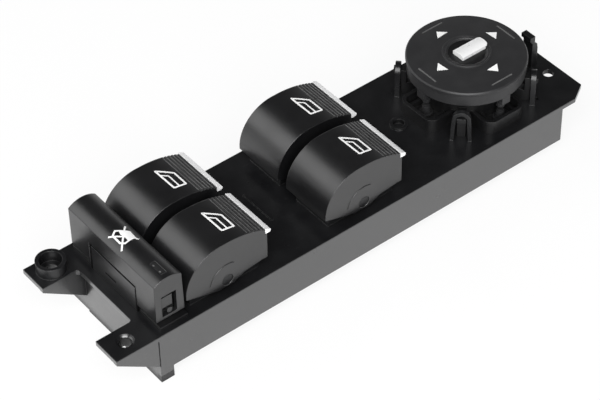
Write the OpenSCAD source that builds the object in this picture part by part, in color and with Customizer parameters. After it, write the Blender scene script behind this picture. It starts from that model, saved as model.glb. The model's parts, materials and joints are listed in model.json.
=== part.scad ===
// Door-panel switch unit: four window rocker buttons, a window lock button and a mirror pad
// on one long moulded plate. The sizes below are measured from the left end wall (x), the
// front face (y) and the top of the plate (z); place() moves them to the centre of the base.

/* [Plate] */
// Length of the top plate, from the left end wall to the right edge
plate_l = 199; // [190:1:225]
// Width of the plate and of the housing under it
plate_w = 56; // [55:1:64]
// Thickness of the plate
plate_t = 2; // [1.6:0.1:2.6]
// Plate beyond the right end wall
tail_l = 13.3; // [10:0.1:18]
// Plate beyond the left end wall
lip_l = 2.3; // [1:0.1:3]
// Length of the cut corners at the right end
corner_l = 7; // [3:0.5:12]
// Depth of the cut corners at the right end
corner_d = 4.3; // [2:0.1:8]

/* [Housing walls] */
// Thickness of the side and end walls
wall_t = 2; // [1.5:0.1:2.6]
// Plate top to the lower edge of the side walls
wall_drop = 17.1; // [16:0.1:20]
// Plate top to the surface that the unit rests on
foot_drop = 22.3; // [21:0.1:25]
// Length of the deep skirt at the left end
foot_l = 5.4; // [4.5:0.1:7]
// Height of the cover's tongue under the left end skirt
tongue_t = 0.8; // [0.6:0.1:1.2]

/* [Fixing ears] */
// Reach of the ears beyond the left end wall
ear_reach = 17.2; // [15:0.1:22]
// Width of each ear
ear_w = 12.1; // [11:0.1:14]
// Radius of the screw holes in the ears
ear_hole_r = 2.3; // [1.8:0.1:2.8]
// Outer radius of the raised ring on the rear ear
ring_r = 5.5; // [5:0.1:6]
// Height of the raised ring
ring_h = 4.5; // [3:0.1:6]
// Thickness of the webs under the ears
web_t = 1.8; // [1.4:0.1:2.4]
// Height of the webs where they meet the end wall
web_h = 14.5; // [10:0.1:15]

/* [Window buttons] */
// Left edge of the first pair of buttons
pair_x = 14.6; // [14.4:0.1:18]
// Distance from the first pair to the second
pair_pitch = 60.4; // [54:0.1:64]
// Width of a button
btn_w = 22.2; // [21:0.1:23]
// Gap between the two buttons of a pair
row_gap = 5; // [4:0.1:7]
// Length of a button without its trim
btn_l = 34.8; // [34:0.1:38]
// Highest point of a button above the plate
btn_h = 22; // [20:0.1:24]
// Radius of the drum-shaped end of a button
drum_r = 15.5; // [14.5:0.1:16]
// Radius of the flatter top of a button
crown_r = 38; // [34:1:60]
// Thickness of a button's top skin
skin_t = 1.8; // [1.4:0.1:2.2]
// Thickness of a button's side walls
cheek_t = 1.8; // [1.5:0.1:2.2]
// Left edge of a button to its pivot
pivot_u = 17.5; // [17:0.1:18.5]
// Height of the pivot above the plate
pivot_h = 4.5; // [4.3:0.1:5]
// Radius of the pivot studs
stud_r = 2.2; // [1.8:0.1:2.4]
// Angle that a button tilts each way
btn_tilt = 7; // [3:1:7]

/* [Button trims] */
// Depth of the bright strip along the button's top
trim_l = 2.2; // [1.6:0.1:2.8]
// Height of the strip at the button's end
trim_h = 2.4; // [1.8:0.1:3]
// How far the strip stands out past the button's end
trim_out = 1.4; // [0.8:0.1:2]

/* [Window lock button] */
// Left face of the lock button
lock_x = 1.7; // [1.4:0.1:2.2]
// Width of the lock button at its foot
lock_w = 11.8; // [11.4:0.1:12]
// Gap between the ends of the lock button and the plate's edges
lock_inset = 3; // [2.5:0.1:6]
// Highest point of the lock button above the plate
lock_h = 22.1; // [20:0.1:24]
// Wall thickness of the lock button
lock_t = 1.6; // [1.4:0.1:2]
// Travel of the lock button when pressed
lock_travel = 1.2; // [0.6:0.1:1.3]

/* [Mirror switch] */
// Right edge of the plate to the centre of the pad
mirror_in = 37.1; // [36:0.1:40]
// Radius of the pad
pad_r = 22.65; // [21:0.05:23]
// Highest point of the pad above the plate
pad_h = 20.6; // [19.5:0.1:22]
// Depth of the pad's skirt under its rim
skirt_h = 4.8; // [4:0.1:5]
// Centre of the mirror switch to the outer wall of the left and right wings
wing_x = 25; // [24:0.1:26.5]
// Centre of the mirror switch to the outer wall of the front and rear wings
wing_y = 23.6; // [23.4:0.1:26.5]
// Width of each wing of the base
wing_w = 18.4; // [17:0.1:22]
// Height of the wings
wing_h = 5.6; // [5:0.1:7]
// Height of the pad's tilting axes above the plate
gimbal_h = 11; // [10.8:0.1:11.6]
// Angle that the pad tilts each way
pad_tilt = 4; // [2:0.5:4]
// Length of the selector's grip
grip_l = 12.4; // [11:0.1:15]
// Width of the selector's grip
grip_w = 5.6; // [4:0.1:6.5]

/* [Circuit board and connector] */
// Plate top to the upper face of the board
board_z = 10; // [9.8:0.1:10.4]
// Thickness of the board
board_t = 1.6; // [1:0.1:2]
// Length of the connector's socket inside
socket_l = 32; // [24:1:40]
// Width of the connector's socket inside
socket_w = 9.6; // [8:0.1:14]
// Contacts in each row of the connector
pins_per_row = 8; // [4:1:10]

/* [Hidden] */

$fn = 64;
e = 0.01;
run_gap = 0.05;
side_gap = 0.35;
seat_gap = 0.15;

mid_y = plate_w / 2;
body_l = plate_l - tail_l;
row_off = (btn_w + row_gap) / 2;
left_x = pair_x;
right_x = pair_x + pair_pitch;
front_y = mid_y - row_off;
rear_y = mid_y + row_off;
mirror_x = plate_l - mirror_in;
drum_z = btn_h - drum_r;

// The finger under a button; its rounded tip drives the slider when the button tilts
finger_t = 3;
finger_w = 8;
blade_t = 2.2;
finger_tip_z = -(board_z - 2.4);
finger_travel = (pivot_h - finger_tip_z) * sin(btn_tilt);

module place()
    translate([-(plate_l - ear_reach) / 2, -mid_y, foot_drop]) children();

// A slab whose outline is drawn in x and z and which runs along y from y0
module along_y(y0, w)
    translate([0, y0 + w, 0]) rotate([90, 0, 0]) linear_extrude(w) children();

// A slab whose outline is drawn in y and z and which runs along x from x0
module along_x(x0, l)
    translate([x0, 0, 0]) rotate([90, 0, 90]) linear_extrude(l) children();

module block(low, high)
    translate(low) cube([high[0] - low[0], high[1] - low[1], high[2] - low[2]]);

module round_rect(w, d, r) {
    square([w - 2 * r, d], center = true);
    square([w, d - 2 * r], center = true);
    for (i = [-1, 1], j = [-1, 1]) translate([i * (w / 2 - r), j * (d / 2 - r)]) circle(r);
}

// Screws that clamp the cover and the board to the bosses under the plate
boss_r = 3;
screw_r = 1.4;
screw_head_r = 2.7;
screw_head_h = 1.8;
screw_len = 12.5;
boss_in = wall_t + boss_r + 1.6;
screw_xs = [lock_x + lock_w + 1.5, (left_x + btn_l + right_x) / 2, body_l - wall_t - boss_r - 3];
screw_ys = [boss_in, plate_w - boss_in];

// The pan under the cover carries the unit; the tongue runs from it to the left end
cover_t = 2;
pan_x0 = foot_l + 5;
pan_x1 = body_l - 5;
pan_in = boss_in + boss_r + 1.2;
tongue_w = 43.5;
clip_h = 3;
conn_x = (left_x + right_x) / 2 + 66;
conn_wall = 1.2;
conn_roof = 1.5;
pin_w = 0.64;
pin_pitch = (socket_l - 4) / (pins_per_row - 1);
pin_row = 1.9;

ear_hole_x = -ear_reach + 7.8;
rear_ear_y = plate_w - ear_w / 2;
front_ear_y = ear_w / 2;
ring_bore_r = ring_r - 1.3;
ear_bore = 5;
root_r = 1.4;

// Pedestals that carry the buttons, and the rails that guide the sliders below them
ped_t = 1.8;
ped_out = btn_w / 2 - cheek_t - side_gap;
ped_r = 4.3;
ped_foot = 9;
collar_h = 2.6;
collar_t = 1.2;
collar_in = skin_t + 0.9;
slide_half = 6;
slide_l = 13;
slide_top = board_z - 4;
slide_bottom = board_z - 0.6;
rail_gap = 0.2;
rail_t = 1.2;
rail_l = slide_l + 2 * finger_travel + 3;
well_l = blade_t + 2 * finger_travel + 5;
well_half = finger_w / 2 + 0.7;

lock_cx = lock_x + lock_w / 2;
lock_len = plate_w - 2 * lock_inset;
lock_foot = 3.4;
lock_end_t = 1.8;
lock_crown_r = 9;
lock_draft = 0.5;
lock_post_r = 2;
lock_post_z = -(board_z - 4.7);
lock_window_z = 12.3;
lock_window_in = 11.2;
lock_slot_x0 = 2.7;
lock_slot_w = 6;
lock_slot_z0 = 4.6;
lock_slot_z1 = 14;
peg_r = 1.1;
tower_in = 0.4;
tower_h = 12;
tower_x0 = lock_x + lock_t + tower_in;
tower_x1 = lock_x + lock_w - lock_draft - lock_t - tower_in;
tower_y0 = lock_inset + lock_end_t + 1.4;
tower_y1 = plate_w - tower_y0;
lens_w = 2.2;
lens_l = 6.6;
lens_y = lock_inset + lock_end_t + 3.7;
pipe_r = 1.3;
pipe_gap = 0.2;
led_h = 1.9;
switch_h = 3.2;
switch_w = 7;
plunger_r = 1.6;

loop_r = pad_r + 2.5;
loop_h = 13.2;
loop_w = 7;
loop_t = 2;
arch_z = loop_h - loop_w / 2;
arch_in = loop_w / 2 - 1.5;
catch_w = 3.2;
catch_z = arch_z + sqrt(pow(arch_in, 2) - pow(catch_w / 2, 2)) - 0.1;
tab_x = mirror_x + 29.2;
tab_y = mid_y - 5;
tab_w = 5;
tail_hole_r = 2.1;
tail_hole_x = plate_l - 5;
tail_hole_y = 17;

// A cup in the plate beside the mirror base, a small gate hole, and a low rib between the pairs
cup_x = mirror_x - 30.2;
cup_y = mid_y + 2.6;
cup_r = 2.2;
gate_x = mirror_x + 18.4;
gate_y = 9.1;
rib_x = (left_x + btn_l + right_x) / 2 + 2;

wing_t = 1.4;
wing_corner = 4;
drum_wall_r = 16;
drum_wall_t = 1.6;
drum_wall_h = gimbal_h - 0.6;
floor_t = 1.4;
ring_in = 6.4;
ring_out = 8.6;
ring_half = 1.8;
lug_in = ring_out + 0.6;
lug_out = lug_in + 2.6;
lug_half = 2.6;
pin_r = 1.4;
dome_r = 2.7;
dome_h = 4.6;
foot_r = 1.6;
foot_at = 19.2;
foot_w = 3.8;
foot_block_z = pad_h - 10.5;
foot_low = floor_t + dome_h + (foot_at + foot_r) * sin(pad_tilt) + 0.2;

rim_t = 1;
rim_top = pad_h - 1.3;
rim_low = rim_top - rim_t;
skirt_r = pad_r - 0.4;
skirt_t = 1.6;
pad_under = pad_h - 3.8;
dish_r = 7.6;
dish_ring_t = 1.6;
dish_floor = pad_h - 2;
dish_ring_top = pad_h + 0.15;
stem_r = 3;
hub_r = 4.8;
hub_low = gimbal_h - 2;
clip_t = 0.5;
clip_r = 4.4;
clip_z = hub_low - clip_t - 0.15;
stem_low = clip_z - 0.6;
groove_r = 2.4;
rotor_r = dish_r - 0.4;
rotor_top = dish_floor + 1.6;
rotor_low = dish_floor + 0.2;
grip_top = pad_h + 1.7;
grip_back = grip_l * 0.35;

// Curve of a button's top, and the place of its bright trim at the end
function crown_z(u, r) = btn_h - crown_r + sqrt(pow(r, 2) - pow(u - pivot_u, 2));
trim_in = trim_l - trim_out;
trim_proud = 0.35;
trim_z = crown_z(btn_l, crown_r) - trim_h + 0.9;

// Outline of a button in x and z, set in by t on every side but the foot
module button_form(t) {
    translate([drum_r, drum_z]) circle(drum_r - t, $fn = 96);
    translate([t, 0]) square([2 * (drum_r - t), drum_z]);
    intersection() {
        translate([pivot_u, btn_h - crown_r]) circle(crown_r - t, $fn = 240);
        translate([drum_r, 0]) square([btn_l - drum_r - t, btn_h]);
    }
}

// What is cut away under the skirt of a button, which hangs lowest round the pivot
skirt_front = 5.5;
skirt_rear = 4.7;
skirt_dip = 1.6;
module button_underside()
    polygon([[-1, -drum_r], [-1, skirt_front], [0, skirt_front], [pivot_u - 4.5, skirt_dip],
        [pivot_u + 3, skirt_dip], [pivot_u + 7, skirt_rear - 0.9], [btn_l - 2.5, skirt_rear],
        [btn_l + 1, skirt_rear], [btn_l + 1, -drum_r]]);

module button(x0, yc) {
    half = btn_w / 2;
    px = x0 + pivot_u;
    difference() {
        translate([x0, 0, 0]) along_y(yc - half, btn_w) difference() {
            button_form(0);
            button_underside();
        }
        translate([x0, 0, 0]) along_y(yc - half + cheek_t, btn_w - 2 * cheek_t) {
            button_form(skin_t);
            translate([skin_t, -1]) square([btn_l - 2 * skin_t, 2]);
        }
        translate([x0, 0, 0]) along_y(yc - half - 1, btn_w + 2)
            translate([btn_l - trim_in, trim_z]) square([trim_in + 1, btn_h]);
        translate([px, yc + half + 1, pivot_h]) rotate([90, 0, 0])
            cylinder(r = stud_r + run_gap, h = btn_w + 2);
        for (i = [0:4]) button_groove(x0, yc, btn_l - 7.4 + 1.45 * i);
        for (s = [-1, 1]) button_arc(px, yc + s * half);
    }
    block([px - blade_t / 2, yc - finger_w / 2, finger_tip_z],
        [px + blade_t / 2, yc + finger_w / 2, btn_h - skin_t / 2]);
    block([px - blade_t / 4, yc - half + cheek_t / 2, pivot_h + 7],
        [px + blade_t / 4, yc + half - cheek_t / 2, btn_h - skin_t / 2]);
    translate([px, yc + finger_w / 2, finger_tip_z]) rotate([90, 0, 0])
        cylinder(r = finger_t / 2, h = finger_w);
}

// One of the fine grip lines across the top of a button, near its trim
module button_groove(x0, yc, u)
    translate([x0 + u, yc + btn_w / 2 + 1, crown_z(u, crown_r) + 0.05]) rotate([90, 0, 0])
        cylinder(r = 0.32, h = btn_w + 2, $fn = 16);

// The shallow arc in each side face of a button, over the pivot
module button_arc(px, y)
    intersection() {
        translate([px, y + 0.25, pivot_h]) rotate([90, 0, 0]) difference() {
            cylinder(r = 7.7, h = 0.5);
            translate([0, 0, -1]) cylinder(r = 7.3, h = 3);
        }
        block([px - 9, y - 1, pivot_h + 1], [px + 3, y + 1, pivot_h + 9]);
    }

module trim(x0, yc)
    translate([x0, 0, 0]) along_y(yc - btn_w / 2 - 0.3, btn_w + 0.6) intersection() {
        translate([pivot_u, btn_h - crown_r]) circle(crown_r + trim_proud, $fn = 240);
        translate([btn_l - trim_in, trim_z]) square([trim_l, btn_h]);
        polygon([[btn_l - trim_in, btn_h], [btn_l - trim_in, trim_z], [btn_l + trim_out - 0.4, trim_z],
            [btn_l + trim_out, trim_z + 0.5], [btn_l + trim_out, btn_h]]);
    }

module slider(x0, yc) {
    px = x0 + pivot_u;
    slot = finger_t / 2 + 0.07;
    difference() {
        block([px - slide_l / 2, yc - slide_half, -slide_bottom],
            [px + slide_l / 2, yc + slide_half, -slide_top]);
        block([px - slot, yc - finger_w / 2 - 0.15, -slide_bottom - 1],
            [px + slot, yc + finger_w / 2 + 0.15, 0]);
        for (s = [-1, 1]) {
            block([px + s * 4.6 - 1.6, yc - 2.5, -slide_top - 1.2], [px + s * 4.6 + 1.6, yc + 2.5, 0]);
            for (k = [-1, 1]) translate([px + s * slide_l / 2, yc + k * slide_half, -slide_bottom - 1])
                rotate([0, 0, 45]) cube([2, 2, 20], center = true);
        }
    }
}

module contact(x0, yc) {
    px = x0 + pivot_u;
    difference() {
        block([px - 5, yc - 5, -slide_bottom - 0.3], [px + 5, yc + 5, -slide_bottom]);
        block([px - 2.2, yc - 4.3, -board_z], [px + 2.2, yc + 4.3, 0]);
    }
    for (s = [-1, 1], k = [-1, 1]) translate([px + s * 3.6, yc + k * 3.2, -board_z + 0.05])
        cylinder(r = 0.7, h = board_z - slide_bottom - 0.35 + e);
}

module pedestal(x0, yc) {
    px = x0 + pivot_u;
    for (s = [-1, 1]) {
        ear_y = yc + s * (ped_out - ped_t / 2);
        along_y(ear_y - ped_t / 2, ped_t) translate([px, 0]) {
            translate([0, pivot_h]) circle(ped_r);
            polygon([[-ped_foot, -1], [ped_foot, -1], [ped_r, pivot_h], [-ped_r, pivot_h]]);
        }
        translate([px, ear_y, pivot_h]) rotate([-s * 90, 0, 0])
            cylinder(r = stud_r, h = ped_t / 2 + side_gap + cheek_t - 0.25);
    }
    difference() {
        block([x0 + collar_in, yc - ped_out, -1], [x0 + btn_l - collar_in, yc + ped_out, collar_h]);
        block([x0 + collar_in + collar_t, yc - ped_out + ped_t, -2],
            [x0 + btn_l - collar_in - collar_t, yc + ped_out - ped_t, collar_h + 1]);
    }
    for (m = [0, 1]) translate([px, yc, 0]) mirror([0, m, 0]) {
        near = slide_half + rail_gap;
        block([-rail_l / 2, near, -slide_bottom], [rail_l / 2, near + rail_t, -plate_t / 2]);
        block([-rail_l / 2, well_half, -slide_top + seat_gap], [rail_l / 2, near + rail_t, -plate_t / 2]);
    }
}

module well(x0, yc) {
    px = x0 + pivot_u;
    block([px - well_l / 2, yc - well_half, -plate_t - 1], [px + well_l / 2, yc + well_half, 1]);
}

module plate_outline() {
    polygon([[-lip_l, 0], [plate_l - corner_l, 0], [plate_l, corner_d], [plate_l, plate_w - corner_d],
        [plate_l - corner_l, plate_w], [-lip_l, plate_w]]);
    for (m = [0, 1]) translate([0, m * plate_w]) mirror([0, m]) {
        translate([-ear_reach, 0]) square([ear_reach, ear_w]);
        difference() {
            translate([-lip_l - root_r, ear_w - 1]) square([root_r + 1, root_r + 1]);
            translate([-lip_l - root_r, ear_w + root_r]) circle(root_r);
        }
    }
}

module ear_web(y0)
    along_y(y0, web_t) polygon([[-ear_reach, -plate_t / 2], [-ear_reach, -plate_t - 0.2],
        [0, -web_h], [wall_t / 2, -web_h], [wall_t / 2, -plate_t / 2]]);

// A standing loop that a catch of the mirror base snaps into
module latch_loop()
    along_x(loop_r - loop_t / 2, loop_t) difference() {
        union() {
            polygon([[-loop_w / 2 - 0.6, -plate_t / 2], [loop_w / 2 + 0.6, -plate_t / 2],
                [loop_w / 2, arch_z], [-loop_w / 2, arch_z]]);
            translate([0, arch_z]) circle(loop_w / 2);
        }
        polygon([[-arch_in - 0.6, 0], [arch_in + 0.6, 0], [arch_in, arch_z], [-arch_in, arch_z]]);
        translate([0, arch_z]) circle(arch_in);
    }

// The stepped hook beyond the pad, which locates the unit in the door trim
module locating_tab()
    translate([tab_x, 0, 0]) along_y(tab_y, tab_w) polygon([[-0.4, -1], [2.4, -1], [2.4, 9],
        [2, 11.2], [0.8, 12], [0.8, 15.2], [-1.6, 15.2], [-1.6, 13.4], [-0.4, 12]]);

module upper_housing() color("#1d1d20") place() difference() {
    union() {
        translate([0, 0, -plate_t]) linear_extrude(plate_t) plate_outline();
        difference() {
            union() {
                block([0, 0, -wall_drop], [body_l, plate_w, -plate_t / 2]);
                block([0, 0, -foot_drop + tongue_t], [foot_l, plate_w, -plate_t / 2]);
            }
            block([wall_t, wall_t, -foot_drop - 1], [body_l - wall_t, plate_w - wall_t, -plate_t]);
            block([-1, -1, -foot_drop - 1], [foot_l + 1, wall_t, -foot_drop + clip_h]);
        }
        ear_web(0);
        ear_web(plate_w - ear_w);
        translate([ear_hole_x, front_ear_y, -ear_bore])
            cylinder(r = ear_hole_r + 1.5, h = ear_bore - plate_t / 2);
        translate([ear_hole_x, rear_ear_y, -plate_t / 2]) cylinder(r = ring_r, h = plate_t / 2 + ring_h);
        for (x = screw_xs, y = screw_ys) translate([x, y, -board_z])
            cylinder(r = boss_r, h = board_z - plate_t / 2);
        for (x = [left_x, right_x], y = [front_y, rear_y]) pedestal(x, y);
        for (a = [45:90:315]) translate([mirror_x, mid_y, 0]) rotate([0, 0, a]) latch_loop();
        locating_tab();
        translate([cup_x, cup_y, -1]) cylinder(r = cup_r + 1.2, h = 1.8);
        block([rib_x, mid_y - 7.8, -1], [rib_x + 0.8, mid_y + 9, 0.5]);
    }
    for (x = [left_x, right_x], y = [front_y, rear_y]) well(x, y);
    for (x = screw_xs, y = screw_ys) translate([x, y, -board_z - 1])
        cylinder(r = screw_r + run_gap, h = board_z - plate_t - 0.2);
    translate([ear_hole_x, rear_ear_y, 0]) cylinder(r = ring_bore_r, h = ring_h + 1);
    for (y = [front_ear_y, rear_ear_y]) translate([ear_hole_x, y, -ear_bore - 1])
        cylinder(r = ear_hole_r, h = ear_bore + 2);
    translate([ear_hole_x, front_ear_y, -0.8]) cylinder(r1 = ear_hole_r, r2 = ear_hole_r + 1, h = 0.8 + e);
    block([-0.25, -1, -web_h], [0.25, 0.3, -plate_t]);
    translate([tail_hole_x, tail_hole_y, -plate_t - 1]) cylinder(r = tail_hole_r, h = plate_t + 2);
    translate([gate_x, gate_y, -1.2]) cylinder(r = 0.9, h = 3);
    translate([cup_x, cup_y, -1.2]) cylinder(r = cup_r, h = 4);
    translate([mirror_x, mid_y, -plate_t - 1]) cylinder(r = drum_wall_r - 2, h = plate_t + 2);
    translate([lock_cx, mid_y, -plate_t - 1]) cylinder(r = lock_post_r + 1, h = plate_t + 2);
    translate([lock_cx, lens_y, -plate_t - 1]) cylinder(r = pipe_r + pipe_gap, h = plate_t + 2);
}

module lower_cover() color("#262629") place() difference() {
    union() {
        block([wall_t + seat_gap, wall_t + seat_gap, -wall_drop],
            [body_l - wall_t - seat_gap, plate_w - wall_t - seat_gap, -wall_drop + cover_t]);
        block([pan_x0, pan_in, -foot_drop], [pan_x1, plate_w - pan_in, -wall_drop + cover_t]);
        block([0, 0, -foot_drop], [foot_l, tongue_w, -foot_drop + tongue_t]);
        block([0, pan_in, -foot_drop], [pan_x0 + 1, tongue_w, -foot_drop + tongue_t]);
        block([0, 0, -foot_drop], [foot_l, wall_t, -foot_drop + clip_h]);
        for (x = screw_xs, y = screw_ys) translate([x, y, -wall_drop])
            cylinder(r = boss_r + 0.2, h = wall_drop - board_z - board_t);
        for (x = [pan_x0 + 14:30:pan_x1 - 8], m = [0, 1]) translate([0, m * plate_w]) mirror([0, m])
            along_x(x, 1.2) polygon([[wall_t + 2, -wall_drop + 1], [wall_t + 2, -wall_drop - 0.6],
                [pan_in + 0.5, -foot_drop + 1], [pan_in + 0.5, -wall_drop + 1]]);
    }
    block([pan_x0 + cover_t, pan_in + cover_t, -foot_drop + cover_t],
        [pan_x1 - cover_t, plate_w - pan_in - cover_t, 0]);
    for (x = screw_xs, y = screw_ys) translate([x, y, -foot_drop]) cylinder(r = screw_r + 0.2, h = foot_drop);
    block([conn_x - socket_l / 2 - conn_wall - seat_gap, mid_y - socket_w / 2 - conn_wall - seat_gap,
        -foot_drop - 1], [conn_x + socket_l / 2 + conn_wall + seat_gap,
        mid_y + socket_w / 2 + conn_wall + seat_gap, 0]);
}

module circuit_board() color("#1f5c34") place() difference() {
    block([wall_t + 0.5, wall_t + 0.5, -board_z - board_t],
        [body_l - wall_t - 0.5, plate_w - wall_t - 0.5, -board_z]);
    for (x = screw_xs, y = screw_ys) translate([x, y, -board_z - board_t - 1])
        cylinder(r = screw_r + 0.3, h = board_t + 2);
}

module status_led() color("#e9e4d2") place()
    block([lock_cx - 1.6, lens_y - 1.4, -board_z], [lock_cx + 1.6, lens_y + 1.4, -board_z + led_h]);

module connector_header() color("#2b2b2e") place() difference() {
    block([conn_x - socket_l / 2 - conn_wall, mid_y - socket_w / 2 - conn_wall, -foot_drop + 0.5],
        [conn_x + socket_l / 2 + conn_wall, mid_y + socket_w / 2 + conn_wall, -board_z - board_t]);
    block([conn_x - socket_l / 2, mid_y - socket_w / 2, -foot_drop - 1],
        [conn_x + socket_l / 2, mid_y + socket_w / 2, -board_z - board_t - conn_roof]);
    block([conn_x - 2, mid_y + socket_w / 2 - 1, -foot_drop - 1],
        [conn_x + 2, mid_y + socket_w / 2 + conn_wall / 2, -board_z - board_t - conn_roof - 3]);
    pin_rows(pin_w / 2, -foot_drop, 0);
}

module pin_rows(half, z0, z1)
    for (i = [0:pins_per_row - 1], s = [-1, 1]) {
        x = conn_x + (i - (pins_per_row - 1) / 2) * pin_pitch;
        block([x - half, mid_y + s * pin_row - half, z0], [x + half, mid_y + s * pin_row + half, z1]);
    }

module connector_pins() color("#c9a24a") place()
    pin_rows(pin_w / 2, -foot_drop + 5, -board_z - board_t);

module cover_screws() color("#8d9094") place() for (x = screw_xs, y = screw_ys) translate([x, y, 0])
    difference() {
        union() {
            translate([0, 0, -wall_drop - screw_head_h]) cylinder(r = screw_head_r, h = screw_head_h);
            translate([0, 0, -wall_drop - e]) cylinder(r = screw_r, h = screw_len);
        }
        for (a = [0, 90]) rotate([0, 0, a]) translate([0, 0, -wall_drop - screw_head_h])
            cube([3.2, 0.7, 1.6], center = true);
    }

module button_left_front() color("#232326") place() button(left_x, front_y);
module button_left_rear() color("#232326") place() button(left_x, rear_y);
module button_right_front() color("#232326") place() button(right_x, front_y);
module button_right_rear() color("#232326") place() button(right_x, rear_y);
module trim_left_front() color("#e6e7e9") place() trim(left_x, front_y);
module trim_left_rear() color("#e6e7e9") place() trim(left_x, rear_y);
module trim_right_front() color("#e6e7e9") place() trim(right_x, front_y);
module trim_right_rear() color("#e6e7e9") place() trim(right_x, rear_y);
module slider_left_front() color("#d8d6cc") place() slider(left_x, front_y);
module slider_left_rear() color("#d8d6cc") place() slider(left_x, rear_y);
module slider_right_front() color("#d8d6cc") place() slider(right_x, front_y);
module slider_right_rear() color("#d8d6cc") place() slider(right_x, rear_y);
module contact_left_front() color("#c9a24a") place() contact(left_x, front_y);
module contact_left_rear() color("#c9a24a") place() contact(left_x, rear_y);
module contact_right_front() color("#c9a24a") place() contact(right_x, front_y);
module contact_right_rear() color("#c9a24a") place() contact(right_x, rear_y);

// Outline of the lock button in x and z, set in by t
module lock_form(t)
    intersection() {
        union() {
            translate([lock_cx - 0.1, lock_h - lock_crown_r]) circle(lock_crown_r - t, $fn = 120);
            translate([lock_x, 0]) square([lock_w, lock_h - lock_crown_r]);
        }
        polygon([[lock_x + t, lock_foot], [lock_x + lock_w - t, lock_foot],
            [lock_x + lock_w - lock_draft - t, lock_h], [lock_x + t, lock_h]]);
    }

module lock_lens_hole(z0, z1)
    block([lock_cx - lens_w / 2, lens_y - lens_l / 2, z0], [lock_cx + lens_w / 2, lens_y + lens_l / 2, z1]);

module lock_button() color("#232326") place() {
    difference() {
        along_y(lock_inset, lock_len) lock_form(0);
        along_y(lock_inset + lock_end_t, lock_len - 2 * lock_end_t) {
            lock_form(lock_t);
            translate([lock_x + lock_t, 0]) square([lock_w - 2 * lock_t, lock_foot + e]);
        }
        block([lock_x - 1, lock_inset + lock_window_in, 0],
            [lock_x + lock_t + 0.3, plate_w - lock_inset - lock_window_in, lock_window_z]);
        block([lock_x + lock_slot_x0, -1, lock_slot_z0],
            [lock_x + lock_slot_x0 + lock_slot_w, plate_w + 1, lock_slot_z1]);
        lock_lens_hole(lock_foot, lock_h + 1);
    }
    translate([lock_cx, mid_y, lock_post_z]) cylinder(r = lock_post_r, h = lock_h - lock_t / 2 - lock_post_z);
}

module lock_lens() color("#8f8f92") place() intersection() {
    lock_lens_hole(lock_h - lock_t - 0.6, lock_h + 1);
    along_y(0, plate_w) lock_form(0.25);
}

module lock_frame() color("#2a2a2d") place() difference() {
    union() {
        block([lock_x + 0.8, lock_inset - 1, 0], [lock_x + lock_w + 0.4, plate_w - lock_inset + 1, 1.3]);
        block([tower_x0, tower_y0, 0], [tower_x1, tower_y1, tower_h]);
        block([lock_x + 0.2, lock_inset + lock_window_in + 0.8, 0],
            [tower_x0 + 1, plate_w - lock_inset - lock_window_in - 0.8, lock_window_z - lock_travel - 0.2]);
        for (m = [0, 1]) translate([0, m * plate_w, 0]) mirror([0, m, 0]) {
            block([lock_x + lock_slot_x0 + 0.4, lock_inset + 0.9, lock_slot_z0 + 3],
                [lock_x + lock_slot_x0 + lock_slot_w - 1.2, tower_y0 + 1, lock_slot_z1 - lock_travel - 0.4]);
            translate([lock_cx, tower_y0 + 1, lock_slot_z0 + peg_r + 0.3]) rotate([90, 0, 0])
                cylinder(r = peg_r, h = tower_y0 + 1 - lock_inset - 0.3);
        }
    }
    for (m = [0, 1]) translate([0, m * plate_w, 0]) mirror([0, m, 0])
        block([tower_x0 + 1.4, lens_y + pipe_r + 2, 2.6],
            [tower_x1 - 1.4, mid_y - lock_post_r - 2, tower_h + 1]);
    block([lock_x - 1, mid_y - 1.3, 3.6], [lock_x + 1.2, mid_y + 5.1, 4.6]);
    translate([lock_cx, mid_y, -1]) cylinder(r = lock_post_r + run_gap, h = tower_h + 2);
    translate([lock_cx, lens_y, -1]) cylinder(r = pipe_r + pipe_gap, h = tower_h + 2);
}

module light_pipe() color("#dfe6ea") place() translate([lock_cx, lens_y, -board_z + led_h])
    cylinder(r = pipe_r, h = board_z - led_h + lock_h - lock_t - 0.6 - lock_travel - 0.3);

module lock_switch() color("#303034") place() difference() {
    block([lock_cx - switch_w / 2, mid_y - switch_w / 2, -board_z],
        [lock_cx + switch_w / 2, mid_y + switch_w / 2, -board_z + switch_h]);
    translate([lock_cx, mid_y, -board_z + 0.2]) cylinder(r = plunger_r + run_gap, h = switch_h + 1);
}

module lock_plunger() color("#d8d6cc") place()
    translate([lock_cx, mid_y, -board_z + lock_travel + 0.4])
        cylinder(r = plunger_r, h = lock_post_z + board_z - lock_travel - 0.4);

module cross_outline(t) {
    round_rect(2 * (wing_x - t), wing_w - 2 * t, wing_corner - t);
    round_rect(wing_w - 2 * t, 2 * (wing_y - t), wing_corner - t);
}

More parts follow.
